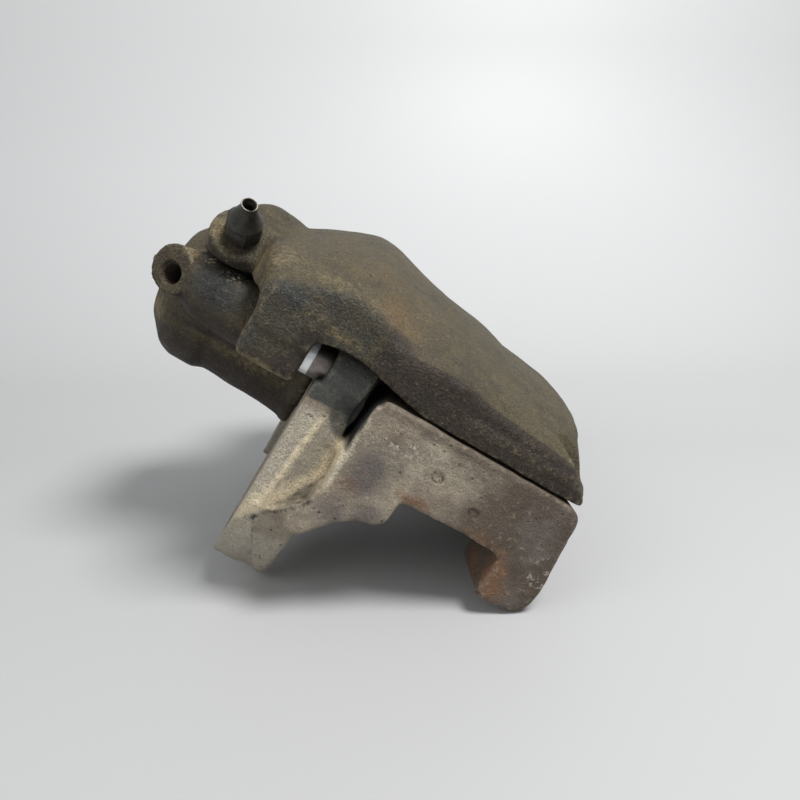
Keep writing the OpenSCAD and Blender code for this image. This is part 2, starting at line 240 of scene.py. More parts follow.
def rod(g, start, axis, length, r0, r1=None, r=0.5):
    """Cylinder or cone from start along axis, its end edges rounded to r."""
    r1 = r0 if r1 is None else r1
    a = np.array(axis) / np.linalg.norm(axis)
    px, py, pz = g.x - start[0], g.y - start[1], g.z - start[2]
    t = px * a[0] + py * a[1] + pz * a[2]
    radial = np.sqrt(np.maximum(px * px + py * py + pz * pz - t * t, 0))
    wall = radial - (r0 + (r1 - r0) * np.clip(t / length, 0, 1))
    slope = abs(r1 - r0) / length
    return rounded(wall / math.sqrt(1 + slope * slope), span(t, 0, length), r)


def capsule(g, a, b, r):
    a, b = np.array(a, float), np.array(b, float)
    e = b - a
    px, py, pz = g.x - a[0], g.y - a[1], g.z - a[2]
    t = np.clip((px * e[0] + py * e[1] + pz * e[2]) / (e @ e), 0, 1)
    return np.sqrt((px - e[0] * t) ** 2 + (py - e[1] * t) ** 2 + (pz - e[2] * t) ** 2) - r


def mirrored(points):
    """The outline's half and its mirror image across the middle plane."""
    return points + [[-y, z] for y, z in reversed(points)]


# ---- from distances to a mesh


def net(volume, g):
    """Surface of the volume's zero level: vertices in mm and quads."""
    inside = volume < 0
    n = volume.shape
    count = np.zeros([k - 1 for k in n], np.int8)
    for a, b, c in CORNERS:
        count += inside[a : n[0] - 1 + a, b : n[1] - 1 + b, c : n[2] - 1 + c]
    active = (count > 0) & (count < 8)
    index = np.full(active.shape, -1, np.int32)
    cells = np.argwhere(active)
    index[active] = np.arange(len(cells))
    total = np.zeros((len(cells), 3))
    hits = np.zeros(len(cells))
    for a in CORNERS:
        for axis in range(3):
            if a[axis]:
                continue
            b = list(a)
            b[axis] = 1
            va = volume[tuple((cells + a).T)]
            vb = volume[tuple((cells + b).T)]
            cross = (va < 0) != (vb < 0)
            t = np.where(cross, va / np.where(cross, va - vb, 1), 0)
            point = np.array(a, float)[None, :].repeat(len(cells), 0)
            point[:, axis] += t
            total[cross] += point[cross]
            hits[cross] += 1
    verts = g.low + g.step * (cells + total / hits[:, None])
    quads = []
    for axis in range(3):
        u, v = (axis + 1) % 3, (axis + 2) % 3
        low = [slice(1, n[k] - 1) for k in range(3)]
        high = list(low)
        low[axis], high[axis] = slice(0, n[axis] - 1), slice(1, n[axis])
        before, after = inside[tuple(low)], inside[tuple(high)]
        for which, flip in ((before & ~after, False), (~before & after, True)):
            at = np.argwhere(which)
            at[:, u] += 1
            at[:, v] += 1
            ring = []
            for du, dv in ((-1, -1), (0, -1), (0, 0), (-1, 0)):
                c = at.copy()
                c[:, u] += du
                c[:, v] += dv
                ring.append(index[tuple(c.T)])
            quads.append(np.stack(ring[::-1] if flip else ring, 1))
    # Pull each vertex onto the level itself
    for _ in range(3):
        value = g.sample(volume, verts)
        steps = np.eye(3) * 0.5 * g.step
        grad = np.stack([g.sample(volume, verts + e) - g.sample(volume, verts - e) for e in steps], 1)
        grad /= g.step
        size = np.maximum((grad**2).sum(1), 0.05)
        verts -= np.clip(value / size, -0.4, 0.4)[:, None] * grad
    return verts, np.concatenate(quads)


def linked(name, data):
    """Object made of the data, linked to the scene."""
    obj = bpy.data.objects.new(name, data)
    bpy.context.scene.collection.objects.link(obj)
    return obj


def apply_modifiers(obj):
    """Replaces the object's mesh by what its modifiers make of it."""
    bpy.context.view_layer.update()
    data = bpy.data.meshes.new_from_object(obj.evaluated_get(bpy.context.evaluated_depsgraph_get()))
    obj.modifiers.clear()
    old = obj.data
    obj.data = data
    bpy.data.meshes.remove(old)


def smooth(data):
    data.polygons.foreach_set("use_smooth", [True] * len(data.polygons))


def mesh_object(name, verts, faces):
    """Smooth object from vertices in the caliper's frame (mm)."""
    data = bpy.data.meshes.new(name)
    data.from_pydata(to_row(np.asarray(verts, float)).tolist(), [], [list(map(int, f)) for f in faces])
    data.validate()
    data.update()
    smooth(data)
    return linked(name, data)


def cut(obj, cutters):
    """Subtracts closed cutter objects, which are then deleted."""
    for cutter in cutters:
        m = obj.modifiers.new("cut", "BOOLEAN")
        m.operation, m.object, m.solver = "DIFFERENCE", cutter, "MANIFOLD"
    apply_modifiers(obj)
    for cutter in cutters:
        bpy.data.objects.remove(cutter)


def turned(name, profile, origin, sides=72, closed=True, axis=ALONG):
    """Lathe of (radius, distance) points round a line, in mm. A closed profile gives a ring."""
    a = Vector(axis).normalized()
    side = a.orthogonal().normalized()
    other = a.cross(side)
    o = Vector(origin)
    verts, faces, rings = [], [], []
    for radius, t in profile:
        around = sides if radius else 1
        rings.append(range(len(verts), len(verts) + around))
        for k in range(around):
            w = 2 * math.pi * k / sides
            verts.append(o + a * t + (side * math.cos(w) + other * math.sin(w)) * radius)
    for p, q in zip(rings, rings[1:] + rings[:1] if closed else rings[1:]):
        for k in range(sides):
            k2 = (k + 1) % sides
            if len(p) == 1 and len(q) == 1:
                break
            if len(p) == 1:
                faces.append((p[0], q[k2], q[k]))
            elif len(q) == 1:
                faces.append((p[k], p[k2], q[0]))
            else:
                faces.append((p[k], p[k2], q[k2], q[k]))
    obj = mesh_object(name, [tuple(v) for v in verts], faces)
    tidy_normals(obj)
    return obj


def tidy_normals(obj):
    bm = bmesh.new()
    bm.from_mesh(obj.data)
    bmesh.ops.recalc_face_normals(bm, faces=bm.faces)
    if bm.calc_volume(signed=True) < 0:
        bmesh.ops.reverse_faces(bm, faces=bm.faces)
    bm.to_mesh(obj.data)
    bm.free()
    obj.data.set_sharp_from_angle(angle=math.radians(35))


def cylinder_cutter(origin, start, end, radius, sides=72, axis=ALONG):
    return turned("cutter", [(0, start), (radius, start), (radius, end), (0, end)], origin, sides, axis=axis)


# ---- caliper housing

# Height of the bridge's middle line, as [x, z]
BRIDGE_LINE = [
    [-113, 67], [-108, 70.5], [-98.5, 76], [-86, 82], [-76, 86], [-66, 85.5], [-52, 82], [-42, 79.8],
    [-33, 78.2], [-15, 76.4], [-6, 74.5], [2, 72.2], [15, 71.6], [27, 70.2], [36, 67.5], [42, 61.5],
    [46, 53.5], [48, 42],
]
# Height of the bridge's side edges, as [x, z]
CREASE_LINE = [
    [-113, 48], [-101, 52.4], [-88, 59], [-79, 62.5], [-71, 63], [-61, 59.5], [-53, 55.8], [-46, 55.4],
    [-40, 56], [-30, 56.8], [-21, 56], [-14, 54.2], [-3, 53.4], [10, 52.4], [20, 51.6], [27, 50.4],
    [32, 47], [48, 38],
]
# Bridge seen from above, as [x, y]
BRIDGE_PLAN = [
    [-113, -58], [-101, -96], [35.2, -96], [38.7, -85], [47, -60], [50, -34],
    [50, 34], [47, 60], [38.7, 85], [35.2, 96], [-101, 96], [-113, 58],
]
# Fist and lug seen along the pins, as [y, z]
FIST = mirrored([[-86, 43], [-60, 39], [-52, 32], [-49, 12], [-44, 4.5], [-20, 4.5], [-15, 14], [-8, 21]])
LUG = [[-96, 28], [-93.5, 25.5], [-72, 25.5], [-66, 33], [-34, 33], [-34, 52], [-96, 52]]
# Half section of the cylinder, as [radius, x]
BARREL = [
    [0, -149], [23, -149], [33.5, -140], [36, -134], [36, -123], [33.8, -118], [35, -88],
    [36.4, -76.5], [37.8, -75.5], [37.8, -71], [0, -71],
]
# Space above the bracket's tower, as [x, z]
ROOM = [
    [LUG_OUT, 10], [LUG_OUT, 42.4], [-74, 44.3], [-67, 45.2], [-58, 44.6], [-51, 42.8], [-43, 41],
    [-33, 39], [-33, 10],
]


def groove(a, b, width):
    """1 along the line where two surfaces meet, 0 away from it."""
    return np.exp(-(a * a + b * b) / width**2)


def housing_volume(g):
    """Signed distance to the casting, and a field that is 1 in its crevices, where black is painted as shade."""
    x, y, z = g.x, g.y, g.z
    line, crease = np.array(BRIDGE_LINE, float), np.array(CREASE_LINE, float)
    top = np.interp(g.axes[0], line[:, 0], line[:, 1]) - DISC_Z
    edge = np.interp(g.axes[0], crease[:, 0], crease[:, 1]) - DISC_Z
    flat = np.sqrt(np.maximum(top**2 - edge**2, 0)) / 96
    flat = blurred(flat.astype(np.float32), 4 / g.step, 0)[:, None, None]
    above = Outline([[-113, 0]] + [[a, b - DISC_Z] for a, b in BRIDGE_LINE] + [[48, 0]], 2.2)
    shell = above.at(x, np.sqrt((y * flat) ** 2 + (z - DISC_Z) ** 2))
    # The outboard corners slope inwards as they rise
    slope = 0.72 * np.clip(z - 41, 0, 16) * rise(x, 2, 18)
    plan = 0.85 * Outline(BRIDGE_PLAN, 1.6).at(x + slope, y)
    bridge = smax(shell, plan, 3.0)
    floor = 39.1 + 7.5 * rise(-x, 98, 4)
    bridge = smax(bridge, np.maximum(floor - z, x - 48), 0.9)
    fist = rounded(Outline(FIST, 2.0).at(y, z), span(x, 31.5, 48), 4.0)
    fist = smax(fist, shell, 3.0)
    d = smin(bridge, fist, 5.0)
    # Lugs that carry the guide pins
    lug = rounded(Outline(LUG, 1.4).at(-np.abs(y), z), span(x, LUG_IN, LUG_OUT), 2.8)
    d = smin(d, lug, 3.0)
    # Cylinder with its mould parting line, and the neck that joins it to the bridge
    r = np.sqrt(y**2 + (z - BORE_Z) ** 2)
    barrel = Outline(BARREL, 1.0).at(r, x)
    barrel = barrel - 0.9 * (peak(z, 12.5, 1.1) * rise(x, -147, 12) * rise(-x, 78, 6))
    barrel = smin(barrel, capsule(g, (-124, -38, 30), (-98, -41, 29.5), 15.2), 4.0)
    neck = rounded(Outline(mirrored([[-34, 34], [-34, 62], [-20, 70]]), 3).at(y, z), span(x, -113, -64), 3)
    # Grooves where the parts meet: they deepen the surface, and the colour there is painted black as shade
    dark = groove(barrel, lug + 0.6, 2.2) + groove(barrel, bridge, 2.0)
    neck = smin(neck, barrel, 4.0)
    d = smin(d, neck, 1.6)
    # Bleed boss: a swollen lump that ends in a flat face square to the screw
    a, tip = np.array(BLEED_AXIS), np.array(BLEED_TIP)
    lump = rod(g, tip - 46 * a, a, 27.2, 13.2, 12.4, 1.6)
    lump = smin(lump, capsule(g, (-121, -25, 54), (-112, -28, 53), 14.0), 5.0)
    lump = smin(lump, capsule(g, (-119, -20, 62), (-112, -6, 61), 11.0), 6.0)
    lump = smin(lump, capsule(g, (-110, -41, 53.5), (-96, -62, 50.5), 8.6), 7.0)
    lump = smax(lump, 43.8 - z, 1.2)
    dark = dark + groove(lump, barrel, 2.4)
    d = smin(d, lump, 1.5)
    # Hose boss
    p, face = np.array(PORT_AXIS), np.array(PORT_FACE)
    port = rod(g, face + (-0.2, 0, 1.6) - 26 * p, p, 26, 10.5, 10.3, 0.5)
    port = smin(port, capsule(g, face - 13 * p, (-126, -24, 38), 8.0), 3.0)
    along = (x - face[0]) * p[0] + (y - face[1]) * p[1] + (z - face[2]) * p[2]
    port = smax(port, along, 0.35)
    dark = dark + 0.8 * groove(lump, port, 2.0)
    d = smin(d, port, 2.0)
    d = d + 0.9 * np.clip(dark, 0, 1)
    # Tunnel over the disc, room beside the towers, scoop in the outer face
    tunnel = np.maximum(np.sqrt(y**2 + (z - DISC_Z) ** 2) - ARCH_R, span(x, -64, 31.5))
    d = smax(d, -tunnel, 2.5)
    d = smax(d, -block(g, (-64, -40, -20), (31.5, 40, 42.5), 1.0), 1.5)
    room = Outline(ROOM, 0.8).at(x, z)
    off_pin = np.sqrt((np.abs(y) - PIN_Y) ** 2 + (z - PIN_Z) ** 2)
    room = np.minimum(room, rounded(off_pin - 11.4, span(x, LUG_OUT, -38), 2))
    room = rounded(room, span(np.abs(y), 40, 99), 0.5)
    d = smax(d, -room, 1.0)
    scoop = rounded(np.sqrt((x - 60.5) ** 2 + (z - 47) ** 2) - 16, span(y, -47, 47), 6)
    d = smax(d, -scoop, 3.0)
    for s in (-1, 1):
        d = smax(d, -capsule(g, (22.5, s * 84.5, 61.3), (35, s * 85.5, 49.5), 6.9), 0.8)
    # Casting line along the side faces
    d = d + 0.9 * (rise(z, 46.6, 1.2) * rise(x, -26, 12) * rise(np.abs(y), 88, 4))
    return d, np.clip(dark, 0, 1)


def housing_object():
    g = Grid((-153, -100, -21), (52, 100, 91), 1.15)
    volume, dark = housing_volume(g)
    volume = volume + 0.28 * g.lumps(17, 3) + 0.16 * g.lumps(7, 4) + 0.09 * g.lumps(3.2, 5)
    verts, quads = net(volume, g)
    return mesh_object("housing_casting", verts, quads), g, volume, dark


# ---- carrier bracket

# Arm seen from the side, as [x, z]
ARM = [
    [-46.5, 38.2], [33, 38.2], [37, 35.6], [41, 5], [40.8, -3], [38.6, -8.1], [31, -9.5],
    [21.5, -10], [18, -7.5], [18, 9], [-23.5, 9], [-24, -1], [-28, -4.5], [-34, -5], [-43, -13],
    [-46.5, -18], [-50, -21.5], [-57, -23], [-51.5, 12], [-50.3, 34.5],
]
# Plate and lug seen along the pins, as [y, z]
PLATE = [
    [-92, 30], [-70, 30], [-58, 12], [-52, -16], [-46, -36], [-46, -46], [-52, -56],
    [-63, -59.8], [-73, -52], [-80, -42], [-88, -18], [-92, 0],
]
LUG_PLATE = [
    [-97, -2], [-60, -2], [-50, -30], [-46, -46], [-51, -56], [-57, -60.5],
    [-63, -61.8], [-69, -58.5], [-75, -53], [-82, -42], [-90, -20], [-97, -12],
]
# Hollow between the plate and the arm, as [x, z]
VALLEY = [
    [-76, 34], [-50.4, 34], [-51.4, 24], [-52.2, 14], [-51, 5], [-50.6, -1], [-53.6, -9.6], [-60, -17.6],
    [-66.8, -24.2], [-76, -27],
]
# Open gap between the tower and the arm, as [x, z]
SLOT = [[-53.2, 48], [-54.4, 26], [-53.4, 15.5], [-52, 15], [-51, 24], [-50.2, 34.5], [-47, 38.2], [-45, 48]]
# Wall behind the valley and the foot of the tower, as [x, z]
WEB = [
    [-80, 26], [-69, 30], [-54.6, 30], [-54.4, 22], [-52, 14], [-46, 10], [-45, -14], [-66, -22],
    [-80, -22],
]
TOWER_FOOT = [
    [-69.5, 32], [-69.5, 20], [-63, 15], [-60, 13], [-52, 10], [-53.9, 15], [-54.6, 25], [-54.6, 32],
]
# Sand pits in the arm's face: x, z, radius, depth
PITS = ((-17.7, 23.5, 2.2, 0.8), (0.9, 18.4, 2.0, 0.7), (-12, 31, 1.8, 0.35), (-4, 30, 2.0, 0.3))


def ear_line(z):
    """Slanting line, inboard of which the lug is cut back to a flat."""
    return -66.5 - (z + 26) * 0.393


def ridge_line(z):
    """Ridge along the plate's outboard edge."""
    return -64.5 + (z - 3) * 0.094


def bracket_volume(g):
    x, y, z = g.x, g.y, g.z
    side = -np.abs(y)
    arm = rounded(Outline(ARM, 1.7).at(x, z), span(side, -98, -66), 1.6)
    plate = rounded(Outline(PLATE, 1.5).at(side, z), span(x, -78, -62), 1.5)
    lug = rounded(Outline(LUG_PLATE, 1.5).at(side, z), span(x, -90, -49), 3.0)
    flat = Outline([[a + 2.2, b] for a, b in LUG_PLATE], 0.8).at(side, z) + 0 * x
    lug = smax(lug, np.minimum(flat, 0.9 * (ear_line(z) - x)), 1.0)
    web = rounded(Outline(WEB, 1.0).at(x, z), span(side, -92.5, -66), 1.0)
    d = smin(arm, smin(plate, lug, 5.0), 3.0)
    d = smin(d, web, 4.0)
    # Valley that falls from the plate's ridge to the foot of the arm
    fall = np.clip(x - ridge_line(z), 0, 13)
    floor_y = -92 + 0.62 * fall - 0.011 * fall * fall
    valley = np.maximum(Outline(VALLEY, 0.7).at(x, z), side - floor_y)
    d = smax(d, -valley, 1.0)
    slot = np.maximum(Outline(SLOT, 0.6).at(x, z), span(side, -110, -60))
    d = smax(d, -slot, 0.5)
    around = np.sqrt((side + PIN_Y) ** 2 + (z - PIN_Z) ** 2)
    tower = rounded(around - 10.3, span(x, -69.5, -52.8 - np.clip(44 - z, 0, 20) * 0.09), 1.0)
    foot = rounded(Outline(TOWER_FOOT, 1.0).at(x, z), span(side, -88.6, -72), 1.5)
    d = smin(d, foot, 2.5)
    d = smin(d, tower, 0.8)
    d = smin(d, block(g, (-67, -60, -34), (-56, 60, -18), 3.0), 5.0)
    d = smin(d, block(g, (24, -70, -8), (38, 70, 1.8), 3.0), 5.0)
    d = np.maximum(d, -72 - x)
    disc = np.maximum(np.sqrt(y**2 + (z - DISC_Z) ** 2) - RIM_R, span(x, -24, 19))
    d = smax(d, -disc, 1.2)
    slide = np.maximum(np.maximum(span(x, -54, 44), span(side, -73, -60)), span(z, 12.5, 26.5))
    d = np.maximum(d, -slide)
    room = np.maximum(np.maximum(span(x, -80, -24), span(side, -66, -30)), span(z, -15, 45))
    d = smax(d, -room, 1.0)
    for px, pz, pr, deep in PITS:
        away = ((x - px) ** 2 + ((z - pz) / 0.8) ** 2) / pr**2
        dent = np.exp(-(away**1.5)) - 0.3 * peak(np.sqrt(away), 1.55, 0.3)
        d = d + deep * dent * rise(-y, 92, 4)
    return d


def bracket_object():
    g = Grid((-76, -102, -66), (45, 102, 49), 1.0)
    volume = bracket_volume(g)
    rough = 0.32 * g.lumps(15, 11) + 0.2 * g.lumps(6.5, 12) + 0.12 * g.lumps(3, 13)
    # The machined inboard face stays flat
    volume += rough * rise(g.x, -72, 2)
    verts, quads = net(volume, g)
    return mesh_object("bracket_casting", verts, quads), g, volume


# ---- masks stored on the meshes


def hollow_mask(g, volume, sigma):
    """Blurred fill of the solid: about 0.5 on a flat face, more in a corner, less on an edge."""
    fill = np.clip(0.5 - volume / (2 * g.step), 0, 1).astype(np.float32)
    for axis in range(3):
        fill = blurred(fill, sigma / g.step, axis)
    return fill


def store(obj, name, values):
    attribute = obj.data.attributes.get(name) or obj.data.attributes.new(name, "FLOAT", "POINT")
    attribute.data.foreach_set("value", np.asarray(values, np.float32))


def vectors(obj, what):
    """One vector of each of the object's vertices, as rows."""
    values = np.zeros(len(obj.data.vertices) * 3)
    obj.data.vertices.foreach_get(what, values)
    return values.reshape(-1, 3)


def design_points(obj):
    """Vertices in the caliper's frame (mm)."""
    inverse = np.array(TO_ROW.inverted())
    return vectors(obj, "co") @ inverse[:3, :3].T + inverse[:3, 3]


def facing(obj):
    """Normals of the vertices in the caliper's frame."""
    return vectors(obj, "normal") @ np.array(TO_ROW.to_3x3().normalized())


def ease(v, low, high):
    """0 below low, 1 above high, with a smooth step between."""
    t = np.clip((v - low) / (high - low), 0, 1)
    return t * t * (3 - 2 * t)


def store_spots(obj, points, name, base, *spots):
    """Stores the greatest of base and soft spots, each (x, y, z, reach x, reach y, reach z, strength)."""
    values = np.zeros(len(points)) + base
    for spot in spots:
        q = ((points - spot[:3]) / spot[3:6]) ** 2
        values = np.maximum(values, spot[6] * np.exp(-q.sum(1)))
    store(obj, name, values)


# ---- build


def declare(obj, body, slot, *nodes):
    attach(obj, body)
    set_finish(obj, slot)
    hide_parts(*nodes)
    return obj


housing, grid, volume, dark = housing_object()
thread = [(4.75 if k % 2 else 4.15, -13.5 + 0.5 * k) for k in range(25)]
port_bore = [(0, -14), (4.2, -14)] + thread + [(5.6, 0.2), (5.6, 3), (0, 3)]
cutters = [
    turned("cutter", port_bore, PORT_FACE, axis=PORT_AXIS),
    cylinder_cutter((-134, 0, BORE_Z), 0, 63.5, PISTON_R + 0.04, 120),
    cylinder_cutter((-74.2, 0, BORE_Z), 0, 5, 31.4, 120),
    cylinder_cutter((-71, 0, BORE_Z), 0, 33, 33.5, 120),
]
for start, end, radius in ((3, 30, 8.6), (-6, 3.01, 10.2)):
    cutters += [cylinder_cutter((LUG_IN, s * PIN_Y, PIN_Z), start, end, radius) for s in (-1, 1)]
cut(housing, cutters + [cylinder_cutter(BLEED_TIP, -44, -2, 5.1, axis=BLEED_AXIS)])
declare(housing, "caliper", "housing_iron", "caliper_cylinder", "caliper_bridge", "caliper_fist")

bracket, bgrid, bvolume = bracket_object()
cut(bracket, [cylinder_cutter((-80, s * HOLE_Y, HOLE_Z), 0, 40, HOLE_R) for s in (-1, 1)])
declare(bracket, "bracket", "bracket_iron", "carrier_bracket")
for casting in (housing, bracket):
    casting.data.set_sharp_from_angle(angle=math.radians(42))

# Guide pins: a polished shank with turned end chamfers and a step down to the root
PIN = [
    (0, -91), (5.2, -91), (6.1, -90.4), (6.5, -89.4), (6.5, -80.9), (6.25, -80.6), (6.25, -80.1),
    (6.5, -79.8), (6.5, -71.2), (6.3, -70.4), (6.3, -69.55), (5.0, -69.5), (5.0, -55.4), (4.4, -54.8),
    (0, -54.8),
]
BUSH = [
    (6.55, -98), (8.2, -98), (8.59, -97.6), (8.59, -79.2), (8.1, -78.75), (7.6, -79.1), (7.2, -78.7),
    (6.55, -79.0),
]
CAP = [
    (0, -100.1), (6.6, -100.1), (7.2, -100.55), (9.3, -100.6), (9.9, -100.3), (10.15, -99.8),
    (10.15, -98.05), (0, -98.05),
]
for s, name in ((-1, "upper"), (1, "lower")):
    line = (0, s * PIN_Y, PIN_Z)
    pin = turned("pin_" + name, PIN, line, 96, False)
    declare(pin, "bracket", "pin_chrome", "guide_pin_" + name)
    bush = turned("bush_" + name, BUSH, line)
    declare(bush, "caliper", "black_rubber", "guide_bush_" + name)
    cap = turned("cap_" + name, CAP, line, closed=False)
    declare(cap, "caliper", "cap_plastic", "guide_cap_" + name)

# Bleed screw: worn hexagon, short cone and a bored nipple, with a thread below
bg = Grid((-9, -9, -40.5), (9, 9, 1.2), 0.3)
around = np.sqrt(bg.x**2 + bg.y**2)
turns = (math.pi / 6, math.pi / 2, 5 * math.pi / 6)
flats = np.maximum.reduce([np.abs(bg.x * math.cos(w) + bg.y * math.sin(w)) for w in turns])
hexagon = rounded(flats - 6.4, span(bg.z, -19.5, -9.6), 0.45)
hexagon = smax(hexagon, (around + 0.9 * (bg.z + 9.6) - 6.6) * 0.75, 0.8)
hexagon = smax(hexagon, (around - 0.75 * (bg.z + 19.5) - 6.9) * 0.8, 0.6)
cone = 0.9 * (around - 2.95 - 3.8 * rise(-bg.z, 1.8, 8.4) ** 1.1)
cone = rounded(cone, span(bg.z, -11, -1.5), 0.4)
nipple = rounded(around - 3.15, span(bg.z, -2.4, 0), 0.45)
thread = rounded(around - 4.75 - 0.22 * np.sin(2 * math.pi * bg.z), span(bg.z, -38.5, -19), 0.8)
screw = smin(smin(hexagon, cone, 1.0), nipple, 0.5)
screw = np.minimum(screw, thread)
passage = np.where(bg.z > -2.6, 2.0 + 0.3 * (bg.z + 2.6), 1.9)
screw = smax(screw, -np.maximum(around - passage, -34 - bg.z), 0.25)
screw = screw + 0.1 * bg.lumps(2.6, 21) + 0.06 * bg.lumps(1.2, 22)
verts, quads = net(screw, bg)
rim = ease(verts[:, 2], -0.55, -0.15)
lift = math.pi / 2 - BLEED_RISE
u, v, w = verts.T
up, out = v * math.sin(lift) + w * math.cos(lift), v * math.cos(lift) - w * math.sin(lift)
verts = np.stack([u + BLEED_TIP[0], out + BLEED_TIP[1], up + BLEED_TIP[2]], 1)
bleeder = declare(mesh_object("bleeder", verts, quads), "bleed_screw", "bleed_steel", "bleed_screw")
store(bleeder, "rim", rim)

# Piston, hollow towards the disc, with its boot groove; its seal; the ring that holds the boot
PISTON = [
    (0, -96), (25.6, -96), (26.7, -95.2), (PISTON_R, -94), (PISTON_R, -44), (26.7, -43.6), (25.65, -43.3),
    (25.65, -40.7), (26.7, -40.4), (PISTON_R, -40), (PISTON_R, -38.6), (26.6, -38), (22.6, -38),
    (22.05, -38.6), (22.05, -84.5), (20.5, -87.4), (0, -88),
]
SEAL = [(27.05, -83.8), (29.3, -83.85), (29.5, -83.6), (29.5, -81.2), (29.3, -80.95), (27.05, -80.9)]
RING = [(30.25, -74.0), (31.1, -74.1), (31.35, -73.9), (31.35, -71.6), (31.1, -71.35), (30.25, -71.4)]
declare(turned("piston_cup", PISTON, BORE, 128, False), "piston", "piston_steel", "piston")
declare(turned("seal_ring", SEAL, BORE, 96), "caliper", "black_rubber", "piston_seal")
declare(turned("boot_retainer", RING, BORE, 96), "caliper", "spring_steel", "boot_ring")

# Dust boot: four rubber folds between the cylinder's mouth and the piston's groove
outer, inner = [], []
for k in range(65):
    t = k / 64
    wave = 0.5 - 0.5 * math.cos(8 * math.pi * t)
    px = -70.6 + 29.4 * t
    outer.append((28.6 + 2.9 * wave, px))
    inner.append((27.75 + 2.75 * wave, px - 0.1))
bellows = [(27.5, -73.9), (30.1, -73.9), (30.15, -71.5), (29.2, -71.1)] + outer
bellows += [(28.1, -40.9), (26.4, -40.75), (25.8, -41.0), (25.8, -43.0), (26.6, -43.2), (27.45, -42.6)]
boot = turned("boot_bellows", bellows + inner[::-1] + [(27.5, -71.2)], BORE, 144)
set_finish(boot, "black_rubber")
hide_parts("dust_boot")
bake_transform(boot)


def refined(node, name, body, slot, width):
    """A pressed or moulded piece: the CAD node's faces with its sharp edges broken."""
    source = frame["nodes"][node]
    bm = bmesh.new()
    bm.from_mesh(source.data)
    bm.transform(source.matrix_world)
    bmesh.ops.remove_doubles(bm, verts=bm.verts, dist=1e-6)
    bmesh.ops.dissolve_limit(bm, angle_limit=math.radians(2), verts=bm.verts, edges=bm.edges)
    data = bpy.data.meshes.new(name)
    bm.to_mesh(data)
    bm.free()
    obj = linked(name, data)
    m = obj.modifiers.new("edges", "BEVEL")
    m.width, m.segments, m.limit_method, m.angle_limit = width * MM, 2, "ANGLE", math.radians(35)
    apply_modifiers(obj)
    smooth(obj.data)
    obj.data.set_sharp_from_angle(angle=math.radians(40))
    return declare(obj, body, slot, node)


for where, body in (("inner", "piston"), ("outer", "caliper")):
    refined(where + "_pad_plate", where + "_backing", body, "pad_steel", 0.5)
    refined(where + "_pad_lining", where + "_lining", body, "friction_lining", 0.9)
    refined(where + "_pad_shim", where + "_shim", body, "stainless_sheet", 0.15)
refined("piston_clip", "pad_spring", "piston", "spring_steel", 0.25)
for place in ("inner_upper", "inner_lower", "outer_upper", "outer_lower"):
    refined("pad_clip_" + place, "slide_clip_" + place, "bracket", "stainless_sheet", 0.12)

# ---- masks for the castings

hp, hn = design_points(housing), facing(housing)
fill = grid.sample(hollow_mask(grid, volume, 2.2), hp)
# Painted shade: corners and recesses get a darker colour
store(housing, "hollow_shade", ease(fill, 0.56, 0.8))
store(housing, "worn", ease(0.5 - fill, 0.06, 0.2))
# Painted shade: the crevices where the parts meet are coloured near black
store(housing, "crevice_shade", grid.sample(dark, hp))
from_port = hp - np.array(PORT_FACE)
behind = from_port @ np.array(PORT_AXIS)
away = np.linalg.norm(from_port - behind[:, None] * np.array(PORT_AXIS), axis=1)
boss = ease(13.5 - away, -1, 1.5) * ease(-0.7 - behind, -0.4, 0.6) * ease(behind + 16, 0, 6)
crease_at = np.interp(hp[:, 0], *np.array(CREASE_LINE, float).T)
below_crease = ease(-hp[:, 1], 86, 90) * ease(crease_at - hp[:, 2], -0.9, 0.6)
flank = below_crease * ease(hp[:, 0], -66, -52)
# Painted shade: faces turned downward are darkened
under = ease(-hn[:, 2], 0.1, 0.7)
port_mouth = ease(12 - away, -0.5, 0.5) * ease(behind, -0.7, -0.2)
# Darker patches: painted shade on faces turned down, the barrel's underside, under the bleed boss, round the pin
# lug and in the fist's groove; grime on the side flanks and round the port
store_spots(
    housing, hp, "dark", np.maximum.reduce([flank, 0.85 * under, 0.45 * port_mouth]),
    (-83, -97, 30, 8, 6, 6, 0.8), (-80.5, -97, 40, 5, 6, 10, 1.0), (-92, -97, 50, 8, 6, 4, 0.5),
    (-118, -48, 50, 12, 7, 9, 0.9), (-124, -44, 57, 9, 7, 9, 0.6), (-55, -94, 58, 12, 8, 4.5, 0.75),
    (-30, -94, 57, 14, 5, 2.5, 0.5), (29, -86, 51, 4.5, 6, 6, 1.0), (-112, -50, 20, 12, 9, 8, 0.6),
    (-112, -24, -4, 40, 24, 14, 0.75),
)
store_spots(
    housing, hp, "blue", 0.5 * below_crease * ease(-hp[:, 0], 56, 64),
    (-122, -50, 34, 15, 12, 10, 1.0), (-92, -96, 52, 9, 6, 6, 0.9), (-108, -42, 26, 12, 10, 12, 0.8),
    (-98, -74, 59, 7, 12, 5, 0.45), (-52, -96, 54, 7, 5, 5, 0.75), (-66, -95, 60, 8, 6, 4, 0.6),
    (-124, -36, 16, 14, 10, 6, 0.5), (-86, -60, 66, 12, 14, 8, 0.35),
)
store_spots(
    housing, hp, "dust", 0,
    (-105, -62, 52, 8, 14, 8, 0.95), (-101, -70, 57, 7, 14, 7, 0.75), (-133, -47, 53, 5, 8, 7, 0.7),
    (-134, -38, 60, 6, 8, 7, 0.45), (-146, -26, 8, 6, 10, 6, 0.8), (-137, -45, 42, 5, 8, 4, 0.9),
    (-72, -96, 49, 10, 4, 3.0, 0.5), (-90, -95, 26, 12, 6, 2.2, 0.7), (-101, -92, 40, 2, 6, 12, 0.5),
    (-104, -35, 8, 22, 10, 3, 0.5), (-80, -90, 63, 20, 5, 3, 0.45), (8, -96, 45.6, 24, 3, 1.2, 0.3),
    (-101, -82, 51, 4, 12, 3, 0.6), (30, -88, 49, 4, 6, 3, 0.5),
)
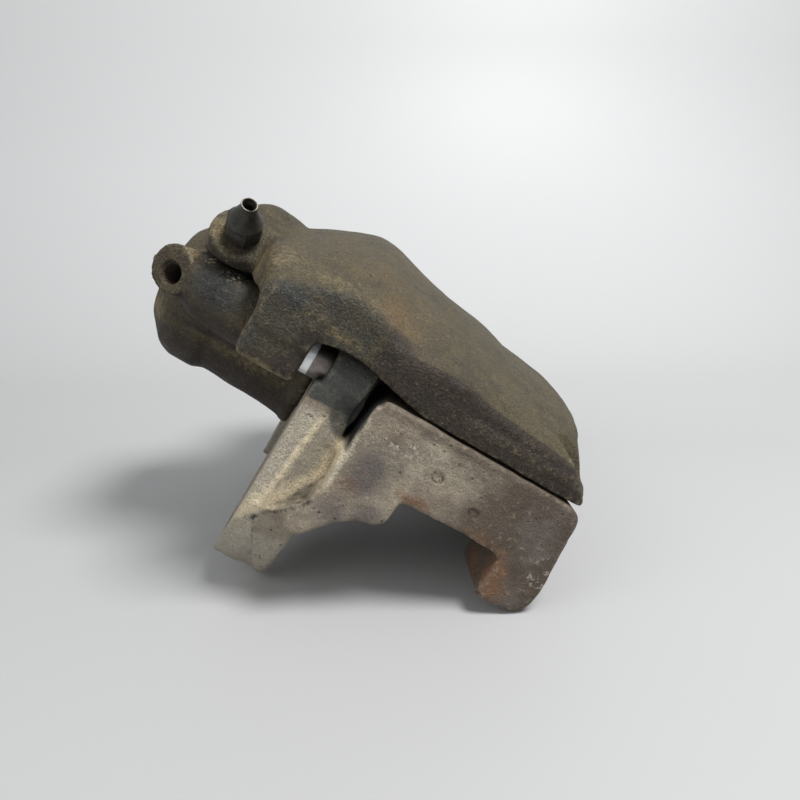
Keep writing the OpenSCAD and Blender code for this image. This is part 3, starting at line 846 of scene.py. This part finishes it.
store_spots(
    housing, hp, "rust", boss,
    (-143, -46, 30, 9, 8, 12, 0.45), (-76, -28, -3, 8, 14, 9, 0.8), (-104, -60, 54, 4, 6, 4, 0.6),
    (-20, -96, 46, 26, 4, 5, 0.75), (8, -96, 44, 12, 4, 4, 0.5), (-106, -50, 30, 3, 8, 12, 0.6),
)
store_spots(
    housing, hp, "glint", 0,
    (-130.5, -46, 41, 2.6, 3, 2.2, 1.0), (-117.5, -49, 41, 3, 3, 2.4, 1.0),
    (-121, -50, 39.5, 2, 3, 1.6, 0.7), (24, -92, 55, 1.6, 3, 3, 0.8),
)
store_spots(
    housing, hp, "warm", 0,
    (-58, -84, 63, 13, 13, 9, 1.0), (-70, -70, 70, 14, 16, 9, 0.5), (-48, -70, 66, 12, 16, 8, 0.5),
)

bp, bn = design_points(bracket), facing(bracket)
fill = bgrid.sample(hollow_mask(bgrid, bvolume, 2.0), bp)
# Painted shade: corners and recesses get a darker colour
store(bracket, "hollow_shade", ease(fill, 0.56, 0.8))
store(bracket, "worn", ease(0.5 - fill, 0.06, 0.2))
bx, by, bz = bp.T
side_y = np.abs(by)
in_valley = ease(side_y, 80, 84) * ease(bx, -74, -70) * ease(-48.5 - bx, -0.5, 1.5)
in_valley *= ease(bz - (-20 + (bx + 63) * 1.55), -4, 4) * ease(22 - bz + 0.2 * (bx + 60), -3, 4)
plate_edge = 0.8 * ease(side_y, 78, 84) * ease(-62 - bx, 0, 3) * ease(24 - bz, -2, 6)
store(bracket, "pale", np.maximum(in_valley, plate_edge))
ridge = in_valley * peak(bx, ridge_line(bz), 1.6) * 0.75
low = in_valley * ease(-8 - bz + 1.1 * (bx + 60), -8, 6)
wall_foot = in_valley * peak(bx, -52.5, 2.6) * 0.85
store_spots(
    bracket, bp, "dust", np.maximum.reduce([ridge, low, wall_foot]),
    (-49.8, -92, 10, 2.4, 6, 14, 0.8), (-49.5, -94, 28, 2, 5, 9, 0.55), (-70, -88, -24, 4, 6, 4, 0.8),
)
outboard = ease(-49.5 - bx, -0.5, 1) * ease(side_y, 70, 74)
base_off = np.sqrt(((bx + 52) / 11) ** 2 + ((bz - 27) / 13) ** 2)
tower_base = 0.62 * ease(1 - base_off, -0.08, 0.16)
store(bracket, "tower", outboard * np.maximum(ease(bz, 23.5, 25.5), tower_base))
store(bracket, "brown", np.maximum(ease(bx - 0.3 * bz, -30, 10), 0.75 * ease(bz, 31, 37)))
store(bracket, "fresh", ease(-30 - bz, -2, 8) * ease(-48 - bx, -8, 2))
past_ear = bx - ear_line(bz)
store(bracket, "ear", ease(-24 - bz, -4, 6) * ease(past_ear, 0, 2) * ease(-46 - bz, -16, -4))
store_spots(
    bracket, bp, "rust", 0,
    (-20, -98, 11, 8, 5, 3.5, 0.8), (8, -98, 9, 8, 5, 5, 0.7), (20, -98, 2, 6, 6, 8, 1.0),
    (16, -98, 8, 8, 5, 5, 0.7), (24, -98, -4, 7, 8, 6, 0.8), (-44, -98, 5, 5, 5, 6, 0.5),
    (-38, -98, 30, 9, 5, 7, 0.35), (-71, -86, -22, 1.8, 4, 1.8, 1.0), (18, -80, -4, 3, 14, 6, 0.7),
)
store_spots(
    bracket, bp, "purple", 0,
    (-40, -98, 12, 8, 5, 11, 1.0), (-44, -96, -6, 8, 6, 8, 0.8), (-32, -98, -2, 8, 8, 6, 0.8),
    (-37, -98, 26, 5, 5, 5, 0.7), (28, -98, 20, 14, 6, 16, 0.6), (30, -98, -3, 9, 9, 8, 0.6),
)
store_spots(
    bracket, bp, "chips", 0,
    (-36, -98, 28, 9, 4, 4, 1.0), (-26, -98, 29, 7, 4, 3, 0.7), (-46, -96, 20, 3, 4, 9, 0.6),
    (36, -98, 9, 4, 5, 6, 0.7),
)
# Painted shade: dark lines along the plate's crest, round the pit rims and along the ear's edge
crest = ease(side_y, 78, 84) * peak(bz - (-21 + (bx + 63) * 1.5), -2.6, 1.7)
crest = crest * ease(bx, -70, -66) * ease(-49 - bx, -1, 1)
pit_rims = 0 * bx
for (px, pz, _, deep), size in zip(PITS, (2.6, 2.3, 2.0, 2.2)):
    away = np.sqrt((bx - px) ** 2 + ((bz - pz) / 0.75) ** 2) / size
    pit_rims = np.maximum(pit_rims, peak(away, 0.85, 0.28) * (by < -94) * (1.0 if deep > 0.5 else 0.55))
edge_line = peak(past_ear, 0, 1.0) * ease(-24 - bz, 0, 3) * ease(side_y, 56, 60)
# Painted shade: faces in the slot between tower and arm, turned inboard, go near black
slot_shade = ease(-bn[:, 0], 0.45, 0.75) * ease(bz, 15, 19) * ease(bx, -54, -52.5) * ease(-46 - bx, -0.5, 1)
store(bracket, "crevice_shade", np.clip(0.55 * crest + 0.8 * pit_rims + 0.42 * edge_line, 0, 1))
store(bracket, "slot_shade", slot_shade * ease(97.6 - side_y, 0, 1))

# ---- materials

# The finished materials by name
LOOKS = {}


class Look:
    """A node material, with short names for the nodes that it is made of."""

    def __init__(self, name):
        self.name = name
        self.material = bpy.data.materials.new(name)
        self.material.use_nodes = True
        self.nodes = self.material.node_tree.nodes
        self.shader = self.nodes["Principled BSDF"]
        # Turned into the caliper's frame, in millimetres
        place = self.nodes.new("ShaderNodeTexCoord").outputs["Object"]
        mapping = self.add("Mapping", Vector=place, Rotation=(0, TILT, 0), Scale=(MM,) * 3)
        mapping.vector_type = "TEXTURE"
        self.place = mapping.outputs["Vector"]

    def add(self, kind, **values):
        return self.fill(self.nodes.new("ShaderNode" + kind), **values)

    def fill(self, node, **values):
        """Sets or links the node's inputs by name."""
        for key, value in values.items():
            if value is not None:
                self.put(value, node.inputs[key.replace("_", " ")])
        return node

    def put(self, value, socket):
        if isinstance(value, (int, float)):
            socket.default_value = value
        elif isinstance(value, tuple):
            socket.default_value = (*value, 1) if len(value) == 3 and socket.type == "RGBA" else value
        else:
            self.material.node_tree.links.new(value, socket)

    def math(self, operation, a, b):
        n = self.nodes.new("ShaderNodeMath")
        n.operation = operation
        self.put(a, n.inputs[0])
        self.put(b, n.inputs[1])
        return n.outputs[0]

    def times(self, a, b):
        return self.math("MULTIPLY", a, b)

    def mix(self, factor, a, b, mode="MIX"):
        n = self.nodes.new("ShaderNodeMix")
        n.data_type, n.blend_type = "RGBA", mode
        self.put(factor, n.inputs[0])
        self.put(a, n.inputs[6])
        self.put(b, n.inputs[7])
        return n.outputs[2]

    def stretch(self, x, y, z):
        return self.add("Mapping", Vector=self.place, Scale=(x, y, z)).outputs["Vector"]

    def noise(self, size, detail=5.0, rough=0.6, place=None):
        """Noise with features of about size mm."""
        place = place or self.place
        return self.add("TexNoise", Vector=place, Scale=1 / size, Detail=detail, Roughness=rough).outputs[0]

    def cells(self, size):
        return self.add("TexVoronoi", Vector=self.place, Scale=1 / size).outputs["Distance"]

    def ramp(self, value, low, high, a=0.0, b=1.0):
        n = self.add("MapRange", Value=value, From_Min=low, From_Max=high, To_Min=a, To_Max=b)
        n.interpolation_type = "SMOOTHSTEP"
        return n.outputs[0]

    def mask(self, name):
        n = self.nodes.new("ShaderNodeAttribute")
        n.attribute_name = name
        return n.outputs["Fac"]

    def broken(self, mask, noise, amount, soft):
        """A mask whose edge is broken up by noise."""
        shifted = self.math("ADD", mask, self.times(self.math("SUBTRACT", noise, 0.5), amount * 2))
        return self.ramp(shifted, 0.5 - soft, 0.5 + soft)

    def layers(self, color, *layers):
        """Tones laid over a colour, each where a stored mask is high: mask, noise, amount, soft, tone."""
        for mask, noise, amount, soft, tone in layers:
            color = self.mix(self.broken(self.mask(mask), noise, amount, soft), color, tone)
        return color

    def shade(self, color, grain, low, high, dark, light):
        """A colour made darker and lighter by a fine grain."""
        return self.mix(1.0, color, self.mix(self.ramp(grain, low, high), dark, light), "MULTIPLY")

    def bump(self, height, distance, normal=None):
        return self.add("Bump", Distance=distance * MM, Height=height, Normal=normal).outputs["Normal"]

    def finish(self, color, rough, normal, metallic, **constants):
        values = {"Base Color": color, "Roughness": rough, "Normal": normal, "Metallic": metallic}
        self.fill(self.shader, **values, **constants)
        LOOKS[self.name] = self.material


def housing_look():
    k = Look("housing_iron")
    broad, middle, fine, grain = k.noise(30, 4), k.noise(9, 6), k.noise(2.4, 5), k.noise(0.75, 3, 0.7)
    color = k.mix(k.ramp(middle, 0.35, 0.68), (0.046, 0.038, 0.025), (0.08, 0.068, 0.045))
    color = k.mix(k.ramp(broad, 0.4, 0.7, 0, 0.5), color, (0.095, 0.077, 0.05))
    smear = k.noise(6, 5, 0.6, k.stretch(0.35, 1, 1.2))
    color = k.layers(
        color,
        ("warm", middle, 0.5, 0.5, (0.115, 0.08, 0.046)),
        ("rust", middle, 0.7, 0.3, (0.058, 0.034, 0.022)),
        ("blue", middle, 0.6, 0.4, k.mix(fine, (0.019, 0.021, 0.025), (0.046, 0.048, 0.052))),
        # Painted shade, with some grime, where the dark mask is high
        ("dark", smear, 0.35, 0.3, k.mix(smear, (0.016, 0.013, 0.011), (0.046, 0.034, 0.028))),
        ("dust", fine, 0.9, 0.45, k.mix(fine, (0.11, 0.082, 0.048), (0.24, 0.19, 0.12))),
    )
    color = k.mix(k.times(k.mask("worn"), k.ramp(fine, 0.4, 0.7, 0, 0.8)), color, (0.17, 0.148, 0.115))
    # Painted shade in corners and recesses
    color = k.mix(k.times(k.mask("hollow_shade"), 0.55), color, (0.02, 0.017, 0.013))
    # Painted shade: near black in the crevices
    color = k.mix(k.mask("crevice_shade"), color, (0.004, 0.0035, 0.003))
    flecks = k.ramp(k.noise(1.6, 2, 0.5), 0.71, 0.77, 0, 0.4)
    color = k.mix(flecks, color, (0.26, 0.23, 0.19))
    specks = k.ramp(k.noise(2.1, 3, 0.6), 0.66, 0.72, 0, 0.7)
    color = k.mix(specks, color, (0.014, 0.012, 0.009))
    glint = k.times(k.mask("glint"), k.ramp(k.noise(1.4, 3, 0.6), 0.53, 0.6))
    color = k.mix(glint, color, (0.5, 0.47, 0.42))
    grit = k.ramp(k.noise(1.1, 2, 0.6), 0.69, 0.73, 0, 0.45)
    color = k.mix(grit, color, (0.2, 0.165, 0.11))
    color = k.shade(color, grain, 0.3, 0.7, (0.5, 0.48, 0.4), (1.3, 1.26, 1.04))
    rough = k.math("SUBTRACT", k.ramp(middle, 0.3, 0.7, 0.5, 0.7), k.times(k.mask("blue"), 0.12))
    height = k.math("ADD", fine, k.times(grain, 0.5))
    normal = k.bump(height, 0.7, k.bump(k.noise(6, 4), 1.1))
    k.finish(color, rough, normal, 0.0, Specular_IOR_Level=0.3)


def bracket_look():
    k = Look("bracket_iron")
    broad, middle, fine, grain = k.noise(26, 4), k.noise(8, 6), k.noise(2.2, 5), k.noise(0.7, 3, 0.75)
    color = k.mix(k.ramp(middle, 0.35, 0.68), (0.2, 0.17, 0.132), (0.345, 0.3, 0.236))
    color = k.mix(k.ramp(broad, 0.42, 0.7, 0, 0.5), color, (0.23, 0.17, 0.132))
    color = k.layers(
        color,
        ("brown", broad, 0.3, 0.5, k.mix(middle, (0.05, 0.037, 0.026), (0.108, 0.08, 0.06))),
        ("purple", middle, 0.6, 0.4, (0.125, 0.106, 0.098)),
        ("rust", fine, 0.7, 0.45, (0.15, 0.078, 0.042)),
        ("fresh", middle, 0.3, 0.4, k.mix(fine, (0.24, 0.216, 0.182), (0.43, 0.39, 0.335))),
        ("ear", middle, 0.4, 0.4, k.mix(fine, (0.23, 0.208, 0.172), (0.42, 0.382, 0.325))),
        ("pale", fine, 0.5, 0.4, k.mix(grain, (0.24, 0.21, 0.165), (0.54, 0.49, 0.41))),
        ("dust", fine, 0.6, 0.45, k.mix(grain, (0.56, 0.46, 0.31), (0.92, 0.8, 0.6))),
        ("tower", middle, 0.3, 0.35, k.mix(fine, (0.034, 0.037, 0.036), (0.095, 0.095, 0.085))),
    )
    chips = k.times(k.mask("chips"), k.ramp(k.noise(2.2, 4, 0.7), 0.54, 0.62))
    color = k.mix(chips, color, (0.5, 0.47, 0.42))
    color = k.mix(k.times(k.mask("worn"), k.ramp(fine, 0.4, 0.7, 0, 0.45)), color, (0.27, 0.235, 0.195))
    # Painted shade in corners and recesses
    color = k.mix(k.times(k.mask("hollow_shade"), 0.4), color, (0.06, 0.045, 0.033))
    # Painted shade along the crest, the pit rims and the ear's edge
    color = k.mix(k.broken(k.mask("crevice_shade"), fine, 0.6, 0.35), color, (0.035, 0.028, 0.02))
    # Painted shade: near black in the slot beside the tower
    color = k.mix(k.mask("slot_shade"), color, (0.006, 0.005, 0.004))
    pits = k.ramp(k.cells(3.1), 0.10, 0.2, 1, 0)
    pits = k.times(pits, k.ramp(k.noise(7, 2), 0.52, 0.6))
    color = k.mix(k.times(pits, 0.7), color, (0.04, 0.032, 0.024))
    color = k.shade(color, grain, 0.25, 0.75, (0.7, 0.69, 0.66), (1.22, 1.21, 1.15))
    rough = k.ramp(middle, 0.3, 0.7, 0.55, 0.8)
    height = k.math("ADD", fine, k.times(grain, 0.6))
    height = k.math("SUBTRACT", height, k.times(pits, 0.6))
    normal = k.bump(height, 0.75, k.bump(k.noise(6, 4), 0.9))
    k.finish(color, rough, normal, 0.0, Specular_IOR_Level=0.4)


def chrome_look():
    k = Look("pin_chrome")
    split = k.add("SeparateXYZ", Vector=k.place)
    smear = k.noise(7, 4, 0.6)
    rings = k.noise(0.35, 2, 0.5, k.stretch(1, 0.04, 0.04))
    # A near-white band by the lug end, less metallic, is a painted highlight; dull and brown towards the bracket
    shift = REST_X * math.cos(TILT) - REST_Z * math.sin(TILT)
    highlight_band = k.broken(k.ramp(split.outputs["X"], shift - 76.6, shift - 75.2, 1, 0), smear, 0.15, 0.3)
    dull = k.mix(k.noise(2.5, 4), (0.16, 0.135, 0.12), (0.34, 0.31, 0.29))
    color = k.mix(highlight_band, dull, (0.93, 0.95, 0.96))
    color = k.mix(k.ramp(k.noise(1.3, 3), 0.66, 0.74, 0, 0.7), color, (0.14, 0.1, 0.08))
    rough = k.mix(highlight_band, (0.45, 0.45, 0.45), (0.24, 0.24, 0.24))
    k.finish(color, rough, k.bump(rings, 0.04), k.ramp(highlight_band, 0, 1, 1.0, 0.45))


def sheet_look(name, light, dark, rough_low, rough_high, metallic=1.0):
    k = Look(name)
    smear = k.noise(4, 5, 0.6)
    lines = k.noise(0.5, 3, 0.6, k.stretch(0.06, 1, 1))
    color = k.mix(k.ramp(smear, 0.35, 0.7), light, dark)
    color = k.mix(k.ramp(k.noise(1.6, 4), 0.6, 0.72, 0, 0.7), color, (0.12, 0.06, 0.03))
    rough = k.ramp(smear, 0.3, 0.7, rough_low, rough_high)
    k.finish(color, rough, k.bump(lines, 0.06), metallic)


def rubber_look(name, tone, rough):
    k = Look(name)
    dust = k.noise(3.5, 5, 0.65)
    color = k.mix(k.ramp(dust, 0.45, 0.75, 0, 0.8), tone, (0.07, 0.06, 0.048))
    rough = k.ramp(dust, 0.3, 0.7, rough - 0.1, rough + 0.15)
    k.finish(color, rough, k.bump(k.noise(0.6, 4), 0.12), 0.0)


def lining_look():
    k = Look("friction_lining")
    grit = k.cells(0.9)
    color = k.mix(k.ramp(grit, 0.1, 0.5), (0.1, 0.085, 0.07), (0.028, 0.024, 0.021))
    color = k.mix(k.ramp(k.noise(0.8, 2), 0.66, 0.7), color, (0.3, 0.22, 0.12))
    k.finish(color, k.ramp(grit, 0.1, 0.6, 0.6, 0.9), k.bump(k.noise(0.9, 5, 0.7), 0.35), 0.0)


def oily_look():
    k = Look("bleed_steel")
    film = k.noise(3.2, 5, 0.65)
    fine = k.noise(0.8, 4, 0.7)
    color = k.mix(k.ramp(film, 0.35, 0.65), (0.022, 0.021, 0.017), (0.05, 0.046, 0.035))
    # Bare metal round the open end
    color = k.mix(k.times(k.mask("rim"), k.ramp(fine, 0.35, 0.55, 0.45, 1)), color, (0.36, 0.33, 0.27))
    bare = k.ramp(fine, 0.62, 0.72, 0, 0.5)
    color = k.mix(bare, color, (0.12, 0.105, 0.08))
    rough = k.ramp(film, 0.3, 0.7, 0.35, 0.6)
    k.finish(color, rough, k.bump(fine, 0.25), 0.35)


housing_look()
bracket_look()
chrome_look()
sheet_look("stainless_sheet", (0.5, 0.49, 0.47), (0.3, 0.27, 0.23), 0.28, 0.5)
rubber_look("black_rubber", (0.012, 0.012, 0.012), 0.6)
rubber_look("cap_plastic", (0.02, 0.02, 0.019), 0.5)
sheet_look("spring_steel", (0.28, 0.28, 0.29), (0.14, 0.12, 0.11), 0.3, 0.5)
sheet_look("pad_steel", (0.022, 0.022, 0.022), (0.05, 0.042, 0.036), 0.42, 0.65, 0.0)
lining_look()
sheet_look("piston_steel", (0.55, 0.54, 0.53), (0.38, 0.35, 0.32), 0.2, 0.38)
oily_look()
slots = {s["node"]: s["material_slot"] for s in frame["record"]["subparts"]}
for name, node in frame["nodes"].items():
    node.data.materials.clear()
    node.data.materials.append(LOOKS[slots[name]])
for piece in [o for o in bpy.context.scene.objects if o.type == "MESH" and "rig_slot" in o]:
    piece.data.materials.clear()
    piece.data.materials.append(LOOKS[piece["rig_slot"]])

# ---- stage, camera and light

CAMERA_PITCH = math.radians(14.5)
CAMERA_YAW = math.radians(2.86)
CAMERA_AT = (-79.25, -295.9, 79.4)
camera_data = bpy.data.cameras.new("camera")
camera_data.sensor_width = 36
camera_data.lens = 27
camera_data.clip_start = 0.01
camera = linked("camera", camera_data)
camera.location = to_row(np.array([CAMERA_AT]))[0]
camera.rotation_euler = (math.pi / 2 - CAMERA_PITCH, 0, -CAMERA_YAW)
bpy.context.scene.camera = camera

# Pale floor that curves up into a pale wall behind the caliper
BEND_Y = 0.3
BEND_R = 0.45
sweep = [(-3.0, 0.0), (BEND_Y, 0.0)]
for k in range(1, 25):
    w = k * math.pi / 48
    sweep.append((BEND_Y + BEND_R * math.sin(w), BEND_R - BEND_R * math.cos(w)))
sweep.append((BEND_Y + BEND_R, 3.0))
data = bpy.data.meshes.new("floor")
corners = [(x, y, z) for y, z in sweep for x in (-4, 4)]
data.from_pydata(corners, [], [(2 * k, 2 * k + 1, 2 * k + 3, 2 * k + 2) for k in range(len(sweep) - 1)])
smooth(data)
floor = linked("floor", data)
pale = bpy.data.materials.new("floor")
pale.use_nodes = True
nodes, links = pale.node_tree.nodes, pale.node_tree.links
nodes["Principled BSDF"].inputs["Roughness"].default_value = 0.5
where = nodes.new("ShaderNodeSeparateXYZ")
links.new(nodes.new("ShaderNodeTexCoord").outputs["Object"], where.inputs["Vector"])
fade = nodes.new("ShaderNodeMapRange")
for socket, v in zip(("From Min", "From Max", "To Min", "To Max"), (0.1, 0.7, 0.43, 0.64)):
    fade.inputs[socket].default_value = v
links.new(where.outputs["Y"], fade.inputs["Value"])
links.new(fade.outputs[0], nodes["Principled BSDF"].inputs["Base Color"])
data.materials.append(pale)

# What the lamps face
CENTRE = (0, 0, 0.08)


def area_light(name, at, size, watts):
    """Round lamp that faces the middle of the caliper."""
    data = bpy.data.lights.new(name, "AREA")
    data.shape, data.size, data.energy = "DISK", size, watts
    obj = linked(name, data)
    obj.location = at
    obj.rotation_euler = (Vector(CENTRE) - Vector(at)).to_track_quat("-Z", "Y").to_euler()


area_light("key", (0.5, -0.4, 1.1), 0.45, 19)
area_light("fill", (-0.9, -0.7, 0.7), 0.9, 4)
world = bpy.data.worlds.new("world")
bpy.context.scene.world = world
world.use_nodes = True
sky = world.node_tree.nodes["Background"].inputs
sky["Color"].default_value = (0.88, 0.91, 0.93, 1)
sky["Strength"].default_value = 0.45
bpy.context.scene.view_settings.view_transform = "Standard"
